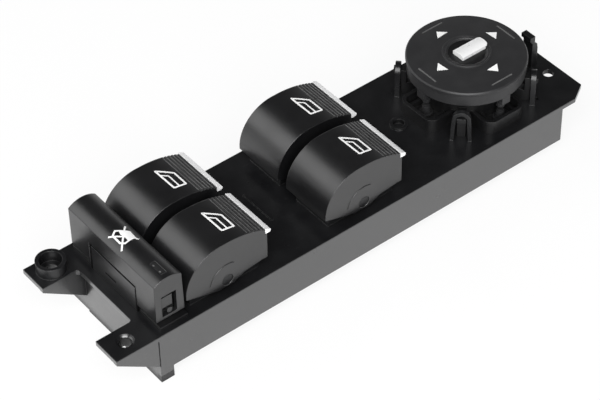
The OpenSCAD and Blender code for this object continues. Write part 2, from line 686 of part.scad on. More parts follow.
module mirror_base() color("#222225") place() translate([mirror_x, mid_y, 0]) difference() {
    union() {
        linear_extrude(wing_h) difference() {
            cross_outline(0);
            cross_outline(wing_t);
        }
        linear_extrude(floor_t) cross_outline(0);
        difference() {
            cylinder(r = drum_wall_r, h = drum_wall_h);
            translate([0, 0, floor_t]) cylinder(r = drum_wall_r - drum_wall_t, h = drum_wall_h);
        }
        for (s = [-1, 1]) block([s > 0 ? lug_in : -lug_out, -lug_half, 0],
            [s > 0 ? lug_out : -lug_in, lug_half, gimbal_h + 2.3]);
        for (a = [0:90:270]) rotate([0, 0, a]) for (s = [-1, 1])
            block([drum_wall_r - 0.8, s * 5.4 - 0.6, 0],
                [(a % 180 == 0 ? wing_x : wing_y) - wing_t / 2, s * 5.4 + 0.6, wing_h - 1.8]);
        for (a = [45:90:315]) rotate([0, 0, a]) {
            along_y(-catch_w / 2, catch_w) polygon([[drum_wall_r - 0.8, 0], [loop_r - 1.2, 0],
                [loop_r - 1.2, catch_z - 4], [loop_r + 1.6, catch_z - 2], [loop_r + 1.6, catch_z],
                [loop_r - 3.2, catch_z], [loop_r - 3.2, 5], [drum_wall_r - 0.8, 7.5]]);
        }
    }
    translate([-lug_out - 1, 0, gimbal_h]) rotate([0, 90, 0])
        cylinder(r = pin_r + run_gap, h = 2 * lug_out + 2);
}

module mirror_terminals() color("#c9a24a") place()
    for (i = [0:7]) translate([mirror_x + (i - 3.5) * 2.2, mid_y - 9, -board_z / 2])
        cube([0.6, 0.6, board_z], center = true);

module pressure_domes() color("#4a4a4e") place() translate([mirror_x, mid_y, floor_t])
    for (a = [0:90:270]) rotate([0, 0, a]) translate([foot_at, 0, 0]) {
        cylinder(r = dome_r, h = 1);
        cylinder(r1 = dome_r - 0.5, r2 = dome_r - 1.2, h = dome_h - 0.8);
        cylinder(r = dome_r - 1.4, h = dome_h);
    }

module gimbal_ring() color("#d8d6cc") place() translate([mirror_x, mid_y, gimbal_h]) difference() {
    union() {
        translate([0, 0, -ring_half]) cylinder(r = ring_out, h = 2 * ring_half);
        for (a = [0:90:270]) rotate([0, 0, a]) translate([ring_in + 0.5, 0, 0]) rotate([0, 90, 0])
            cylinder(r = pin_r, h = lug_out - 0.2 - ring_in - 0.5);
    }
    translate([0, 0, -ring_half - 1]) cylinder(r = ring_in, h = 2 * ring_half + 2);
}

// Half section of the pad: domed top with a raised ring round the dish, rim and skirt
module pad_section() {
    edge_r = pad_r - 0.45;
    dome_in = dish_r + dish_ring_t;
    polygon(concat(
        [[stem_r + run_gap, hub_low], [stem_r + run_gap, dish_floor], [dish_r, dish_floor],
            [dish_r, dish_ring_top - 0.3], [dish_r + 0.3, dish_ring_top], [dome_in - 0.3, dish_ring_top],
            [dome_in, pad_h - 0.15]],
        [for (i = [0:6]) let (r = dome_in + 0.2 + i * (edge_r - dome_in - 0.2) / 6)
            [r, pad_h - (pad_h - rim_top - 0.3) * pow(r / edge_r, 2)]],
        [[pad_r, rim_top - 0.2], [pad_r, rim_low], [skirt_r, rim_low], [skirt_r, rim_low - skirt_h],
            [skirt_r - skirt_t, rim_low - skirt_h], [skirt_r - skirt_t, pad_under], [hub_r, pad_under],
            [hub_r, hub_low]]));
}

module mirror_pad() color("#2a2a2d") place() translate([mirror_x, mid_y, 0]) difference() {
    union() {
        rotate_extrude($fn = 120) pad_section();
        for (s = [-1, 1]) block([-lug_half, s > 0 ? lug_in : -lug_out, gimbal_h - 2.4],
            [lug_half, s > 0 ? lug_out : -lug_in, pad_under + 0.5]);
        for (a = [0:90:270]) rotate([0, 0, a]) {
            translate([foot_at, 0, foot_low]) cylinder(r = foot_r, h = pad_under + 0.5 - foot_low);
            block([foot_at - foot_r, -foot_w / 2, foot_block_z], [skirt_r - 0.1, foot_w / 2, pad_under + 0.5]);
        }
    }
    translate([0, lug_out + 1, gimbal_h]) rotate([90, 0, 0])
        cylinder(r = pin_r + run_gap, h = 2 * lug_out + 2);
    for (a = [0:90:270]) rotate([0, 0, a]) translate([pad_r - 3.4, 0, pad_h - 1.05])
        cube([0.7, 10, 0.9], center = true);
}

module selector_rotor() color("#0e0e10") place() translate([mirror_x, mid_y, 0]) difference() {
    union() {
        translate([0, 0, rotor_low]) cylinder(r = rotor_r, h = rotor_top - rotor_low);
        translate([0, 0, stem_low]) cylinder(r = stem_r, h = rotor_low - stem_low + e);
    }
    translate([0, 0, clip_z]) difference() {
        cylinder(r = stem_r + 1, h = clip_t);
        translate([0, 0, -1]) cylinder(r = groove_r, h = clip_t + 2);
    }
}

module selector_clip() color("#b9bcc0") place() translate([mirror_x, mid_y, clip_z + 0.03]) difference() {
    cylinder(r = clip_r, h = clip_t - 0.06);
    translate([0, 0, -1]) cylinder(r = groove_r + run_gap, h = clip_t + 2);
    block([-clip_r - 1, -1.6, -1], [0, 1.6, clip_t + 1]);
}

module selector_grip() color("#e6e7e9") place() translate([mirror_x, mid_y, 0]) difference() {
    intersection() {
        along_x(-grip_back, grip_l) intersection() {
            translate([-grip_w / 2, rotor_top]) square([grip_w, grip_top - rotor_top]);
            translate([0, grip_top - 6]) circle(6);
        }
        translate([0, 0, rotor_top - 1]) linear_extrude(grip_top) {
            translate([-grip_back, -grip_w / 2]) square([grip_l - 1.4, grip_w]);
            translate([grip_l - grip_back - 1.4, 0]) round_rect(2.8, grip_w, 1.2);
        }
    }
    block([dish_r - 0.8, -grip_w, rotor_top - 1], [grip_l, grip_w, dish_ring_top + 0.35]);
}

upper_housing();
lower_cover();
circuit_board();
status_led();
connector_header();
connector_pins();
cover_screws();
button_left_front();
button_left_rear();
button_right_front();
button_right_rear();
trim_left_front();
trim_left_rear();
trim_right_front();
trim_right_rear();
slider_left_front();
slider_left_rear();
slider_right_front();
slider_right_rear();
contact_left_front();
contact_left_rear();
contact_right_front();
contact_right_rear();
lock_frame();
lock_button();
lock_lens();
light_pipe();
lock_switch();
lock_plunger();
mirror_base();
mirror_terminals();
pressure_domes();
gimbal_ring();
mirror_pad();
selector_rotor();
selector_clip();
selector_grip();
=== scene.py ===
import bpy
import bmesh
import json
import math
from mathutils import Matrix, Vector

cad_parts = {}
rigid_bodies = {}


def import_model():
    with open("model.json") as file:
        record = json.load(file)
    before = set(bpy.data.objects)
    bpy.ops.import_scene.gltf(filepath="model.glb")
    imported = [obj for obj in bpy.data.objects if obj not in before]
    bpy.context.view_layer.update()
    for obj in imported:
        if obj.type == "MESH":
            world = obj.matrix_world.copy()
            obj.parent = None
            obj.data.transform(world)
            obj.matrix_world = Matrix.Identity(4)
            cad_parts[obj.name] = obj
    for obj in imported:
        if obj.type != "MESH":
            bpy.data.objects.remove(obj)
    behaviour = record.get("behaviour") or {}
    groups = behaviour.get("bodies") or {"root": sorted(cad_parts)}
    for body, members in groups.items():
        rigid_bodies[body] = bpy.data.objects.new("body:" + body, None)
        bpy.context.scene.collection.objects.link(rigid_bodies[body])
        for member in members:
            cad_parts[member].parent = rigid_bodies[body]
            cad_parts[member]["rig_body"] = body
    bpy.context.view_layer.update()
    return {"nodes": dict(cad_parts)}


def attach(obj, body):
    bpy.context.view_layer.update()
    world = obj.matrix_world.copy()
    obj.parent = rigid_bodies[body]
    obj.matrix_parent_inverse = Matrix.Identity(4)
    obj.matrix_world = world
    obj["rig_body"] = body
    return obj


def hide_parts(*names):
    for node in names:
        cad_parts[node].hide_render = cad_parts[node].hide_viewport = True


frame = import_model()
nodes = frame["nodes"]
scene = bpy.context.scene
print("frame loaded:", len(nodes), "nodes")

# The plate's own corner, in metres of the frame: drawings below are in millimetres from there
plateCorner = Vector((-0.0909, -0.028, 0.0223))


def fromPlate(x, y, z):
    return plateCorner + Vector((x, y, z)) / 1000


# Camera, at the photograph's place
cameraSet = {
    "place": (-0.37903, -0.47993, 0.59288),
    "right": (0.78183395, -0.62329329, -0.01552886),
    "up": (0.43862826, 0.53215558, 0.72416551),
    "back": (-0.44310374, -0.57298858, 0.68945135),
    "lens": 139.43,
}


def makeCamera(values):
    data = bpy.data.cameras.new("photoCamera")
    data.lens = values["lens"]
    data.sensor_width = 36
    data.clip_start = 0.02
    data.clip_end = 30
    camera = bpy.data.objects.new("photoCamera", data)
    scene.collection.objects.link(camera)
    turn = Matrix((values["right"], values["up"], values["back"])).transposed().to_4x4()
    camera.matrix_world = Matrix.Translation(values["place"]) @ turn
    scene.camera = camera


makeCamera(cameraSet)
scene.view_settings.view_transform = "Standard"
print("camera placed")


# Shader node groups that several finishes share
def startGroup(name, inputs, outputs):
    tree = bpy.data.node_groups.new(name, "ShaderNodeTree")
    for label, kind, value in inputs:
        socket = tree.interface.new_socket(label, in_out="INPUT", socket_type=kind)
        socket.default_value = value
    for label, kind in outputs:
        tree.interface.new_socket(label, in_out="OUTPUT", socket_type=kind)
    entry = tree.nodes.new("NodeGroupInput")
    leave = tree.nodes.new("NodeGroupOutput")
    return tree, entry.outputs, leave.inputs


def addNode(tree, kind, **settings):
    node = tree.nodes.new(kind)
    for name, value in settings.items():
        setattr(node, name, value)
    return node


def addMath(tree, operation, first, second=None, third=None, clamp=False):
    node = addNode(tree, "ShaderNodeMath", operation=operation, use_clamp=clamp)
    for place, value in enumerate((first, second, third)):
        if value is None:
            continue
        if isinstance(value, (int, float)):
            node.inputs[place].default_value = value
        else:
            tree.links.new(value, node.inputs[place])
    return node.outputs[0]


def addNoise(tree, where, scale, detail, roughness):
    node = addNode(tree, "ShaderNodeTexNoise")
    tree.links.new(where, node.inputs["Vector"])
    if isinstance(scale, (int, float)):
        node.inputs["Scale"].default_value = scale
    else:
        tree.links.new(scale, node.inputs["Scale"])
    node.inputs["Detail"].default_value = detail
    node.inputs["Roughness"].default_value = roughness
    return node.outputs["Fac"]


def addRange(tree, value, low, high, newLow=0.0, newHigh=1.0):
    node = addNode(tree, "ShaderNodeMapRange", interpolation_type="SMOOTHSTEP")
    tree.links.new(value, node.inputs["Value"])
    for label, number in (("From Min", low), ("From Max", high), ("To Min", newLow), ("To Max", newHigh)):
        if isinstance(number, (int, float)):
            node.inputs[label].default_value = number
        else:
            tree.links.new(number, node.inputs[label])
    return node.outputs["Result"]


# Spark-eroded grain of a moulded part: a height for the bump, and a slow mottle for the colour
def makeGrainGroup():
    tree, entry, leave = startGroup("moulded grain", [("Scale", "NodeSocketFloat", 2600.0)],
                                    [("Height", "NodeSocketFloat"), ("Mottle", "NodeSocketFloat")])
    where = addNode(tree, "ShaderNodeTexCoord").outputs["Object"]
    pebbles = addNode(tree, "ShaderNodeTexVoronoi", feature="SMOOTH_F1")
    pebbles.inputs["Smoothness"].default_value = 0.6
    tree.links.new(where, pebbles.inputs["Vector"])
    tree.links.new(entry["Scale"], pebbles.inputs["Scale"])
    fine = addNoise(tree, where, addMath(tree, "MULTIPLY", entry["Scale"], 1.9), 3.0, 0.6)
    height = addMath(tree, "ADD", addMath(tree, "MULTIPLY", pebbles.outputs["Distance"], 0.7),
                     addMath(tree, "MULTIPLY", fine, 0.6))
    tree.links.new(height, leave["Height"])
    slow = addNoise(tree, where, addMath(tree, "MULTIPLY", entry["Scale"], 0.035), 4.0, 0.55)
    tree.links.new(addRange(tree, slow, 0.3, 0.7), leave["Mottle"])
    return tree


# Rounded edges: the normal of an edge of this radius, and a mask of where an edge is lightened, partly as
# rubbed wear and partly as a painted highlight
def makeEdgeGroup():
    tree, entry, leave = startGroup("soft edges", [("Radius", "NodeSocketFloat", 0.0003),
                                                   ("Wear", "NodeSocketFloat", 0.5)],
                                    [("Normal", "NodeSocketVector"), ("WornAndHighlit", "NodeSocketFloat")])
    bevel = addNode(tree, "ShaderNodeBevel", samples=8)
    tree.links.new(entry["Radius"], bevel.inputs["Radius"])
    tree.links.new(bevel.outputs["Normal"], leave["Normal"])
    flat = addNode(tree, "ShaderNodeNewGeometry").outputs["Normal"]
    dot = addNode(tree, "ShaderNodeVectorMath", operation="DOT_PRODUCT")
    tree.links.new(bevel.outputs["Normal"], dot.inputs[0])
    tree.links.new(flat, dot.inputs[1])
    rim = addRange(tree, dot.outputs["Value"], 0.995, 0.86)
    where = addNode(tree, "ShaderNodeTexCoord").outputs["Object"]
    patches = addRange(tree, addNoise(tree, where, 420.0, 5.0, 0.65), 0.42, 0.62)
    wornAndHighlit = addMath(tree, "MULTIPLY", addMath(tree, "MULTIPLY", rim, patches), entry["Wear"], clamp=True)
    tree.links.new(wornAndHighlit, leave["WornAndHighlit"])
    return tree


# Handling: roughness that changes in soft patches, with hairline scuffs
def makeHandlingGroup():
    tree, entry, leave = startGroup("handling", [("Low", "NodeSocketFloat", 0.4), ("High", "NodeSocketFloat",
            0.55),
                                                 ("Patch Scale", "NodeSocketFloat", 90.0)],
                                    [("Roughness", "NodeSocketFloat"), ("Scuffs", "NodeSocketFloat")])
    where = addNode(tree, "ShaderNodeTexCoord").outputs["Object"]
    patches = addNoise(tree, where, entry["Patch Scale"], 5.0, 0.6)
    rough = addRange(tree, patches, 0.25, 0.75, entry["Low"], entry["High"])
    stretch = addNode(tree, "ShaderNodeMapping")
    stretch.inputs["Scale"].default_value = (1.0, 9.0, 3.0)
    stretch.inputs["Rotation"].default_value = (0.2, 0.1, 0.5)
    tree.links.new(where, stretch.inputs["Vector"])
    hair = addNoise(tree, stretch.outputs["Vector"], 340.0, 2.0, 0.5)
    scuffs = addRange(tree, hair, 0.68, 0.74)
    tree.links.new(scuffs, leave["Scuffs"])
    tree.links.new(addMath(tree, "ADD", rough, addMath(tree, "MULTIPLY", scuffs, 0.08), clamp=True),
                   leave["Roughness"])
    return tree


# Depth of a recess from ambient occlusion: 1 on open faces, 0 deep in gaps and holes, where the plastics below
# darken their colour as painted shade and turn rougher
def makeRecessGroup():
    tree, entry, leave = startGroup("recesses", [("Reach", "NodeSocketFloat", 0.005),
                                                 ("Deepest", "NodeSocketFloat", 0.35)],
                                    [("Open", "NodeSocketFloat"), ("Outer", "NodeSocketFloat")])
    shade = addNode(tree, "ShaderNodeAmbientOcclusion", samples=8)
    tree.links.new(entry["Reach"], shade.inputs["Distance"])
    tree.links.new(addRange(tree, shade.outputs["AO"], 0.6, 0.95), leave["Outer"])
    tree.links.new(addRange(tree, shade.outputs["AO"], 0.15, 0.75, entry["Deepest"], 1.0), leave["Open"])
    return tree


# Polished below a height, dull above it: the mould of the housing is polished on its walls only
def makePolishGroup():
    tree, entry, leave = startGroup("polish", [("Height", "NodeSocketFloat", 0.022),
                                               ("Above", "NodeSocketFloat", 1.0),
                                               ("Below", "NodeSocketFloat", 1.0)],
                                    [("Polish", "NodeSocketFloat")])
    parts = addNode(tree, "ShaderNodeSeparateXYZ")
    tree.links.new(addNode(tree, "ShaderNodeTexCoord").outputs["Object"], parts.inputs[0])
    over = addMath(tree, "GREATER_THAN", parts.outputs["Z"], entry["Height"])
    tree.links.new(addRange(tree, over, 0.0, 1.0, entry["Below"], entry["Above"]), leave["Polish"])
    return tree


grainGroup = makeGrainGroup()
edgeGroup = makeEdgeGroup()
handlingGroup = makeHandlingGroup()
recessGroup = makeRecessGroup()
polishGroup = makePolishGroup()
print("shader groups made")


def startMaterial(name):
    material = bpy.data.materials.new(name)
    material.use_nodes = True
    tree = material.node_tree
    tree.nodes.clear()
    output = tree.nodes.new("ShaderNodeOutputMaterial")
    shader = tree.nodes.new("ShaderNodeBsdfPrincipled")
    tree.links.new(shader.outputs[0], output.inputs[0])
    return material, tree, shader


def useGroup(tree, group, **values):
    node = addNode(tree, "ShaderNodeGroup", node_tree=group)
    for label, value in values.items():
        node.inputs[label.replace("_", " ")].default_value = value
    return node.outputs


def mixColour(tree, amount, first, second):
    node = addNode(tree, "ShaderNodeMix", data_type="RGBA")
    tree.links.new(amount, node.inputs[0])
    for place, colour in ((6, first), (7, second)):
        if isinstance(colour, tuple):
            node.inputs[place].default_value = (*colour, 1.0)
        else:
            tree.links.new(colour, node.inputs[place])
    return node.outputs[2]


def addBump(tree, height, normal, strength, distance):
    node = addNode(tree, "ShaderNodeBump")
    node.inputs["Strength"].default_value = strength
    node.inputs["Distance"].default_value = distance
    tree.links.new(height, node.inputs["Height"])
    tree.links.new(normal, node.inputs["Normal"])
    return node.outputs["Normal"]


# A moulded plastic: mottled body colour, edges lightened partly as wear and partly as a painted highlight,
# grain, handling and a polished skin, with painted shade in its recesses
def mouldedPlastic(name, values):
    material, tree, shader = startMaterial(name)
    grain = useGroup(tree, grainGroup, Scale=values["grainScale"])
    edges = useGroup(tree, edgeGroup, Radius=values["edgeRadius"], Wear=values["wearAndHighlight"])
    handling = useGroup(tree, handlingGroup, Low=values["roughLow"], High=values["roughHigh"])
    tone = mixColour(tree, grain["Mottle"], values["colour"], values["mottled"])
    tone = mixColour(tree, addMath(tree, "MULTIPLY", handling["Scuffs"], values["scuffs"]), tone,
                     values["edgeColour"])
    # edges lightened towards edgeColour: partly rubbed wear, partly a painted highlight
    tone = mixColour(tree, edges["WornAndHighlit"], tone, values["edgeColour"])
    recess = useGroup(tree, recessGroup, Reach=0.005, Deepest=0.3)
    polish = useGroup(tree, polishGroup, Height=0.0219, Above=values["coatAbove"], Below=values["coat"])
    # painted shade: the colour is darkened towards black in gaps and holes
    tone = mixColour(tree, recess["Open"], (0.0, 0.0, 0.0), tone)
    tree.links.new(tone, shader.inputs["Base Color"])
    dull = addMath(tree, "MULTIPLY", addMath(tree, "SUBTRACT", 1.0, recess["Open"]), 0.3)
    tree.links.new(addMath(tree, "ADD", handling["Roughness"], dull), shader.inputs["Roughness"])
    tree.links.new(addBump(tree, grain["Height"], edges["Normal"], values["grainStrength"],
            values["grainDepth"]),
                   shader.inputs["Normal"])
    tree.links.new(addMath(tree, "MULTIPLY", polish["Polish"], recess["Outer"]), shader.inputs["Coat Weight"])
    shader.inputs["Specular IOR Level"].default_value = values["specular"]
    shader.inputs["Coat Roughness"].default_value = values["coatRough"]
    shader.inputs["Coat IOR"].default_value = 1.8
    return material


housingPlastic = mouldedPlastic("housingPlastic", {
    "colour": (0.0055, 0.0056, 0.0062), "mottled": (0.0078, 0.0079, 0.0086),
    "edgeColour": (0.050, 0.050, 0.052),
    "roughLow": 0.27, "roughHigh": 0.36, "specular": 0.5, "coat": 0.85, "coatAbove": 0.0, "coatRough": 0.2,
    "wearAndHighlight": 0.6,
    "scuffs": 0.22, "edgeRadius": 0.00030, "grainScale": 2600.0, "grainStrength": 0.25, "grainDepth": 0.00004})
coverPlastic = mouldedPlastic("coverPlastic", {
    "colour": (0.0085, 0.0085, 0.0092), "mottled": (0.0115, 0.0115, 0.0122),
    "edgeColour": (0.060, 0.060, 0.062),
    "roughLow": 0.30, "roughHigh": 0.42, "specular": 0.5, "coat": 0.1, "coatAbove": 0.1, "coatRough": 0.3,
    "wearAndHighlight": 0.6,
    "scuffs": 0.30, "edgeRadius": 0.00025, "grainScale": 2200.0, "grainStrength": 0.3, "grainDepth": 0.00005})
buttonPlastic = mouldedPlastic("buttonPlastic", {
    "colour": (0.0045, 0.0045, 0.0050), "mottled": (0.0066, 0.0066, 0.0072),
    "edgeColour": (0.045, 0.045, 0.047),
    "roughLow": 0.28, "roughHigh": 0.35, "specular": 0.9, "coat": 0.0, "coatAbove": 0.0, "coatRough": 0.2,
    "wearAndHighlight": 0.35,
    "scuffs": 0.10, "edgeRadius": 0.00045, "grainScale": 4200.0, "grainStrength": 0.18, "grainDepth": 0.00002})
framePlastic = mouldedPlastic("framePlastic", {
    "colour": (0.0045, 0.0045, 0.0050), "mottled": (0.0066, 0.0066, 0.0072),
    "edgeColour": (0.030, 0.030, 0.032),
    "roughLow": 0.30, "roughHigh": 0.38, "specular": 0.9, "coat": 0.0, "coatAbove": 0.0, "coatRough": 0.2,
    "wearAndHighlight": 0.1,
    "scuffs": 0.10, "edgeRadius": 0.00018, "grainScale": 4200.0, "grainStrength": 0.18, "grainDepth": 0.00002})
padPlastic = mouldedPlastic("padPlastic", {
    "colour": (0.021, 0.021, 0.022), "mottled": (0.026, 0.026, 0.027), "edgeColour": (0.085, 0.085, 0.087),
    "roughLow": 0.36, "roughHigh": 0.44, "specular": 0.35, "coat": 0.0, "coatAbove": 0.0, "coatRough": 0.2,
    "wearAndHighlight": 0.4,
    "scuffs": 0.12, "edgeRadius": 0.00035, "grainScale": 3800.0, "grainStrength": 0.2, "grainDepth": 0.00003})
innerPlastic = mouldedPlastic("innerPlastic", {
    "colour": (0.0040, 0.0040, 0.0044), "mottled": (0.0058, 0.0058, 0.0062),
    "edgeColour": (0.035, 0.035, 0.037),
    "roughLow": 0.36, "roughHigh": 0.50, "specular": 0.5, "coat": 0.0, "coatAbove": 0.0, "coatRough": 0.3,
    "wearAndHighlight": 0.4,
    "scuffs": 0.2, "edgeRadius": 0.00022, "grainScale": 3000.0, "grainStrength": 0.3, "grainDepth": 0.00005})
sliderPlastic = mouldedPlastic("sliderPlastic", {
    "colour": (0.62, 0.60, 0.54), "mottled": (0.66, 0.64, 0.58), "edgeColour": (0.72, 0.70, 0.66),
    "roughLow": 0.38, "roughHigh": 0.5, "specular": 0.5, "coat": 0.0, "coatAbove": 0.0, "coatRough": 0.3,
    "wearAndHighlight": 0.4,
    "scuffs": 0.2, "edgeRadius": 0.00015, "grainScale": 5000.0, "grainStrength": 0.15, "grainDepth": 0.00002})
switchPlastic = mouldedPlastic("switchPlastic", {
    "colour": (0.030, 0.030, 0.033), "mottled": (0.036, 0.036, 0.040), "edgeColour": (0.09, 0.09, 0.10),
    "roughLow": 0.3, "roughHigh": 0.42, "specular": 0.5, "coat": 0.0, "coatAbove": 0.0, "coatRough": 0.3,
    "wearAndHighlight": 0.4,
    "scuffs": 0.2, "edgeRadius": 0.00012, "grainScale": 5200.0, "grainStrength": 0.15, "grainDepth": 0.00002})
rotorPlastic = mouldedPlastic("rotorPlastic", {
    "colour": (0.0035, 0.0035, 0.0038), "mottled": (0.0050, 0.0050, 0.0054), "edgeColour": (0.03, 0.03, 0.03),
    "roughLow": 0.4, "roughHigh": 0.52, "specular": 0.4, "coat": 0.0, "coatAbove": 0.0, "coatRough": 0.3,
    "wearAndHighlight": 0.3,
    "scuffs": 0.1, "edgeRadius": 0.0002, "grainScale": 4200.0, "grainStrength": 0.2, "grainDepth": 0.00003})
domeRubber = mouldedPlastic("domeRubber", {
    "colour": (0.010, 0.010, 0.011), "mottled": (0.014, 0.014, 0.015), "edgeColour": (0.05, 0.05, 0.052),
    "roughLow": 0.62, "roughHigh": 0.8, "specular": 0.3, "coat": 0.0, "coatAbove": 0.0, "coatRough": 0.3,
    "wearAndHighlight": 0.2,
    "scuffs": 0.1, "edgeRadius": 0.0002, "grainScale": 3600.0, "grainStrength": 0.25, "grainDepth": 0.00003})
print("plastics made")


# A metal: bright face, darker in its grain, with fine drawn lines
def bareMetal(name, values):
    material, tree, shader = startMaterial(name)
    edges = useGroup(tree, edgeGroup, Radius=values["edgeRadius"], Wear=values["wearAndHighlight"])
    handling = useGroup(tree, handlingGroup, Low=values["roughLow"], High=values["roughHigh"],
            Patch_Scale=240.0)
    grain = useGroup(tree, grainGroup, Scale=values["grainScale"])
    tone = mixColour(tree, grain["Mottle"], values["colour"], values["mottled"])
    tone = mixColour(tree, edges["WornAndHighlit"], tone, values["edgeColour"])
    tree.links.new(tone, shader.inputs["Base Color"])
    tree.links.new(handling["Roughness"], shader.inputs["Roughness"])
    tree.links.new(addBump(tree, grain["Height"], edges["Normal"], values["grainStrength"], 0.00002),
                   shader.inputs["Normal"])
    shader.inputs["Metallic"].default_value = values["metallic"]
    return material


satinTrim = bareMetal("satinTrim", {
    "colour": (0.93, 0.93, 0.935), "mottled": (0.90, 0.90, 0.905), "edgeColour": (0.97, 0.97, 0.97),
    "metallic": 0.2, "roughLow": 0.28, "roughHigh": 0.36, "wearAndHighlight": 0.5, "edgeRadius": 0.00025,
    "grainScale": 1500.0, "grainStrength": 0.02})
gripSilver = bareMetal("gripSilver", {
    "colour": (0.93, 0.93, 0.93), "mottled": (0.90, 0.90, 0.90), "edgeColour": (0.97, 0.97, 0.97),
    "metallic": 0.2, "roughLow": 0.26, "roughHigh": 0.34, "wearAndHighlight": 0.5, "edgeRadius": 0.00022,
    "grainScale": 1500.0, "grainStrength": 0.02})
contactBrass = bareMetal("contactBrass", {
    "colour": (0.80, 0.56, 0.26), "mottled": (0.72, 0.48, 0.20), "edgeColour": (0.88, 0.70, 0.40),
    "metallic": 1.0, "roughLow": 0.24, "roughHigh": 0.36, "wearAndHighlight": 0.5, "edgeRadius": 0.00008,
    "grainScale": 6000.0, "grainStrength": 0.1})
screwSteel = bareMetal("screwSteel", {
    "colour": (0.42, 0.42, 0.43), "mottled": (0.34, 0.34, 0.35), "edgeColour": (0.62, 0.62, 0.63),
    "metallic": 1.0, "roughLow": 0.28, "roughHigh": 0.42, "wearAndHighlight": 0.6, "edgeRadius": 0.0001,
    "grainScale": 5000.0, "grainStrength": 0.15})
clipSteel = bareMetal("clipSteel", {
    "colour": (0.58, 0.58, 0.60), "mottled": (0.50, 0.50, 0.52), "edgeColour": (0.74, 0.74, 0.75),
    "metallic": 1.0, "roughLow": 0.22, "roughHigh": 0.34, "wearAndHighlight": 0.6, "edgeRadius": 0.00006,
    "grainScale": 6000.0, "grainStrength": 0.1})
print("metals made")


# A slightly uneven thin film: white pad printing, and grey films that are painted highlights
def inkAndHighlightFilm(name, values):
    material, tree, shader = startMaterial(name)
    grain = useGroup(tree, grainGroup, Scale=5200.0)
    handling = useGroup(tree, handlingGroup, Low=values["roughLow"], High=values["roughHigh"],
            Patch_Scale=300.0)
    edges = useGroup(tree, edgeGroup, Radius=0.00004, Wear=0.0)
    tree.links.new(mixColour(tree, grain["Mottle"], values["colour"], values["mottled"]),
                   shader.inputs["Base Color"])
    tree.links.new(handling["Roughness"], shader.inputs["Roughness"])
    tree.links.new(addBump(tree, grain["Height"], edges["Normal"], 0.2, 0.00002), shader.inputs["Normal"])
    return material


whiteInk = inkAndHighlightFilm("whiteInk", {"colour": (0.90, 0.90, 0.895), "mottled": (0.84, 0.84, 0.835),
                                   "roughLow": 0.42, "roughHigh": 0.55})
# painted highlight: a mid-grey film for the grip strips
gripHighlightGrey = inkAndHighlightFilm("gripHighlightGrey", {"colour": (0.16, 0.16, 0.16), "mottled": (0.09, 0.09, 0.09),
                                     "roughLow": 0.35, "roughHigh": 0.5})
# painted highlight: the grey of the lens glints and the pad's slot strips
highlightGrey = inkAndHighlightFilm("highlightGrey", {"colour": (0.13, 0.13, 0.13), "mottled": (0.09, 0.09, 0.09),
                                 "roughLow": 0.45, "roughHigh": 0.6})


# Green board: solder mask with copper tracks showing through, and a lattice of via dots
def boardFinish(name, values):
    material, tree, shader = startMaterial(name)
    where = addNode(tree, "ShaderNodeTexCoord").outputs["Object"]
    bricks = addNode(tree, "ShaderNodeTexBrick", offset=0.37, squash=1.7, squash_frequency=3)
    bricks.inputs["Scale"].default_value = values["trackScale"]
    bricks.inputs["Mortar Size"].default_value = 0.06
    bricks.inputs["Brick Width"].default_value = 1.9
    bricks.inputs["Row Height"].default_value = 0.31
    tree.links.new(where, bricks.inputs["Vector"])
    dots = addNode(tree, "ShaderNodeTexVoronoi", feature="F1")
    dots.inputs["Scale"].default_value = values["viaScale"]
    dots.inputs["Randomness"].default_value = 0.55
    tree.links.new(where, dots.inputs["Vector"])
    vias = addRange(tree, dots.outputs["Distance"], 0.16, 0.11)
    edges = useGroup(tree, edgeGroup, Radius=0.0001, Wear=0.5)
    handling = useGroup(tree, handlingGroup, Low=0.25, High=0.38)
    tone = mixColour(tree, bricks.outputs["Fac"], values["mask"], values["overCopper"])
    tone = mixColour(tree, vias, tone, values["tin"])
    tone = mixColour(tree, edges["WornAndHighlit"], tone, values["laminate"])
    tree.links.new(tone, shader.inputs["Base Color"])
    tree.links.new(handling["Roughness"], shader.inputs["Roughness"])
    height = addMath(tree, "ADD", bricks.outputs["Fac"], vias)
    tree.links.new(addBump(tree, height, edges["Normal"], 0.4, 0.00004), shader.inputs["Normal"])
    return material


boardLaminate = boardFinish("boardLaminate", {
    "mask": (0.010, 0.075, 0.030), "overCopper": (0.020, 0.125, 0.050), "tin": (0.52, 0.52, 0.50),
    "laminate": (0.42, 0.40, 0.22), "trackScale": 260.0, "viaScale": 210.0})


# Clear and tinted optical plastics
def opticalPlastic(name, values):
    material, tree, shader = startMaterial(name)
    grain = useGroup(tree, grainGroup, Scale=4200.0)
    edges = useGroup(tree, edgeGroup, Radius=values["edgeRadius"], Wear=0.0)
    handling = useGroup(tree, handlingGroup, Low=values["roughLow"], High=values["roughHigh"],
            Patch_Scale=300.0)
    tree.links.new(mixColour(tree, grain["Mottle"], values["colour"], values["mottled"]),
                   shader.inputs["Base Color"])
    tree.links.new(handling["Roughness"], shader.inputs["Roughness"])
    tree.links.new(addBump(tree, grain["Height"], edges["Normal"], 0.06, 0.00001), shader.inputs["Normal"])
    shader.inputs["Transmission Weight"].default_value = values["transmission"]
    shader.inputs["Specular IOR Level"].default_value = values["specular"]
    shader.inputs["IOR"].default_value = 1.49
    return material


clearAcrylic = opticalPlastic("clearAcrylic", {
    "colour": (0.93, 0.95, 0.96), "mottled": (0.90, 0.93, 0.94), "roughLow": 0.06, "roughHigh": 0.14,
    "edgeRadius": 0.00012, "transmission": 0.85, "specular": 0.5})
smokedLens = opticalPlastic("smokedLens", {
    "colour": (0.014, 0.014, 0.0145), "mottled": (0.018, 0.018, 0.0185), "roughLow": 0.28, "roughHigh": 0.35,
    "edgeRadius": 0.00006, "transmission": 0.0, "specular": 0.9})
ledBody = opticalPlastic("ledBody", {
    "colour": (0.80, 0.76, 0.60), "mottled": (0.74, 0.70, 0.54), "roughLow": 0.3, "roughHigh": 0.45,
    "edgeRadius": 0.0001, "transmission": 0.0, "specular": 0.5})
print("print, board and lens finishes made")

